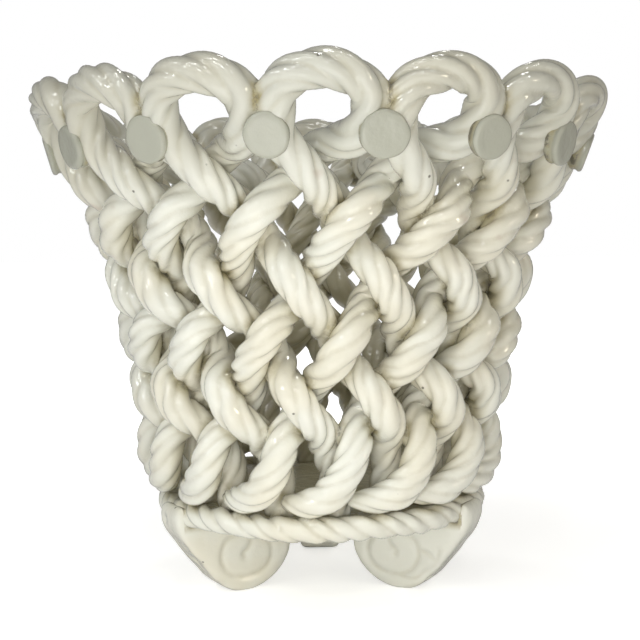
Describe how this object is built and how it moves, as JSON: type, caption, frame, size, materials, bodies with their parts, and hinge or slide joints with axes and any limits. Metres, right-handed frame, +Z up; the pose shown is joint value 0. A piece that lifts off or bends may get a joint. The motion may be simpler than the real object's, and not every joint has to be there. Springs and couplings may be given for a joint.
{
  "type": "woven rope planter basket",
  "caption": "Flared openwork planter basket in white glazed ceramic: rope legs woven over and under, looped rim with flat buttons, twisted base rope and scroll feet.",
  "frame": {"origin": "on the standing plane, on the basket's axis", "axes": "+Z up along the basket's axis; -Y faces the viewer, between two of the feet, with one rim loop in the middle"},
  "size_m": [0.2586, 0.2586, 0.2227],
  "materials": {
    "rope_glaze": "glossy ivory-white glaze, thin on the lays' crests and pooled in their grooves",
    "button_glaze": "glossy white glaze, slightly greyer and smoother",
    "base_rope_glaze": "glossy ivory-white glaze",
    "slab_glaze": "glossy glaze pooled warm and yellowish inside the basket",
    "foot_glaze": "glossy ivory glaze over finger-pressed scrolls"
  },
  "bodies": {
    "root": {"rope_01": "rope_glaze", "rope_02": "rope_glaze", "rope_03": "rope_glaze", "rope_04": "rope_glaze", "rope_05": "rope_glaze", "rope_06": "rope_glaze", "rope_07": "rope_glaze", "rope_08": "rope_glaze", "rope_09": "rope_glaze", "rope_10": "rope_glaze", "rope_11": "rope_glaze", "rope_12": "rope_glaze", "rope_13": "rope_glaze", "rope_14": "rope_glaze", "rope_15": "rope_glaze", "rope_16": "rope_glaze", "button_01": "button_glaze", "button_02": "button_glaze", "button_03": "button_glaze", "button_04": "button_glaze", "button_05": "button_glaze", "button_06": "button_glaze", "button_07": "button_glaze", "button_08": "button_glaze", "button_09": "button_glaze", "button_10": "button_glaze", "button_11": "button_glaze", "button_12": "button_glaze", "button_13": "button_glaze", "button_14": "button_glaze", "button_15": "button_glaze", "button_16": "button_glaze", "base_rope": "base_rope_glaze", "floor_slab": "slab_glaze", "scroll_foot_1": "foot_glaze", "scroll_foot_2": "foot_glaze", "scroll_foot_3": "foot_glaze"}
  },
  "joints": []
}
